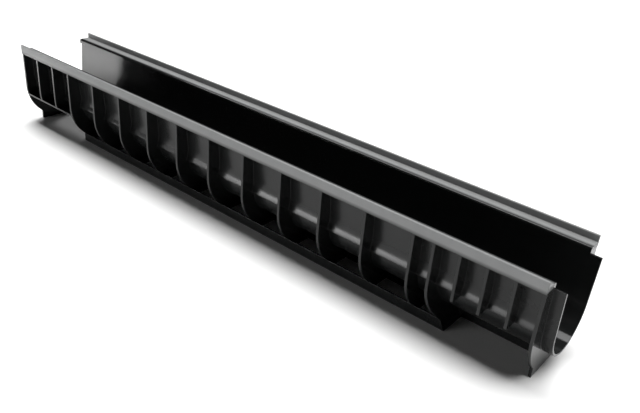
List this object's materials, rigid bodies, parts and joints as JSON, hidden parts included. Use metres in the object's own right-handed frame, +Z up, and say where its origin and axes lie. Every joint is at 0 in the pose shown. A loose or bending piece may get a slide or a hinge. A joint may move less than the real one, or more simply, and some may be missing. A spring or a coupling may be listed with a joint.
{
  "type": "drainage channel",
  "caption": "Moulded black plastic drainage channel with a round-bottomed trough, a sunk seat for a grating, outer ribs, feet, and a tongue and socket at its ends.",
  "frame": {"origin": "middle of the channel's whole length, on its centre line, at the level of the feet", "axes": "+X along the channel towards the tongue, +Z up"},
  "size_m": [1.014, 0.14, 0.143],
  "materials": {
    "moulded_polypropylene": "satin moulded surface, black"
  },
  "bodies": {
    "root": {"channel_body": "moulded_polypropylene"}
  },
  "joints": []
}
